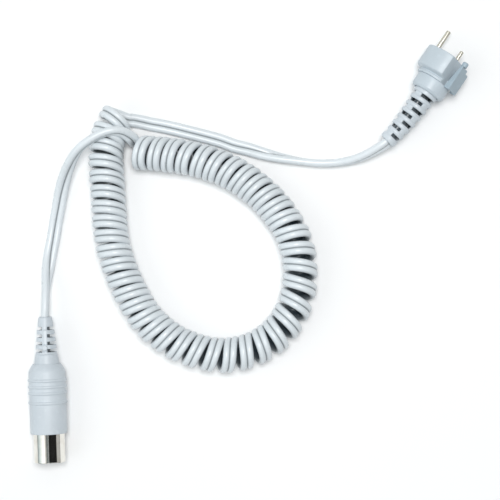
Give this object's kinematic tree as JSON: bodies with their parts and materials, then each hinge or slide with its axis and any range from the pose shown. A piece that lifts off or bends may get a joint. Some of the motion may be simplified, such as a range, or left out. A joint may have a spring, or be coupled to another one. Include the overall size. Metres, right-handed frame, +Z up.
{
  "type": "coiled dental cord set",
  "caption": "Curly twin-core flex with a round keyed plug on one end and a keyed two-pin plug with a sprung latch lever on the other, lying in a teardrop loop.",
  "frame": {"origin": "on the table, under the middle of the plugs' and leads' outer box", "axes": "+Z up from the table; +Y points from the round plug's mouth towards its cord end; +X from the round plug towards the two-pin plug"},
  "size_m": [0.1862, 0.1835, 0.0206],
  "materials": {
    "flex_pvc": "glossy light blue-grey PVC",
    "plug_plastic": "satin light blue-grey moulded PVC",
    "head_plastic": "satin blue-grey hard moulding",
    "nickel_shell": "nickel-plated pressed steel",
    "contact_metal": "nickel-plated brass, polished",
    "inner_steel": "tinned sheet steel and spring wire",
    "insulator_black": "matt black moulded insulator",
    "crimp_copper": "bare copper alloy crimp",
    "core_red": "red core insulation",
    "core_white": "white core insulation"
  },
  "bodies": {
    "cord_set": {"round_plug_boot": "plug_plastic", "round_plug_sleeve": "plug_plastic", "round_plug_shell": "nickel_shell", "round_plug_insulator": "insulator_black", "round_plug_pin_1": "contact_metal", "round_plug_pin_2": "contact_metal", "round_plug_pin_3": "contact_metal", "round_plug_half_screen_top": "inner_steel", "round_plug_half_screen_bottom": "inner_steel", "round_plug_flex_tail": "flex_pvc", "round_plug_cord_clamp": "inner_steel", "round_plug_core_1": "core_red", "round_plug_core_2": "core_white", "two_pin_collar": "head_plastic", "two_pin_boot": "plug_plastic", "two_pin_head": "head_plastic", "two_pin_contact_long": "contact_metal", "two_pin_contact_short": "contact_metal", "latch_pivot_pin": "inner_steel", "latch_spring": "inner_steel", "two_pin_flex_tail": "flex_pvc", "two_pin_cord_grip": "inner_steel", "two_pin_core_1": "core_red", "two_pin_crimp_1": "crimp_copper", "two_pin_core_2": "core_white", "two_pin_crimp_2": "crimp_copper", "curly_cord": "flex_pvc", "lead_to_round_plug": "flex_pvc", "lead_to_two_pin_plug": "flex_pvc"},
    "latch": {"latch_lever": "head_plastic", "latch_nub": "head_plastic"}
  },
  "joints": [
    {"name": "latch_press", "type": "hinge", "parent": "cord_set", "child": "latch", "pos_m": [0.08554, 0.06765, 0.0146], "axis": [-0.4515, 0.3046, 0.8387], "range_deg": [0, 6], "stiffness_Nm_per_rad": 0.002, "springref_deg": -5.73}
  ]
}
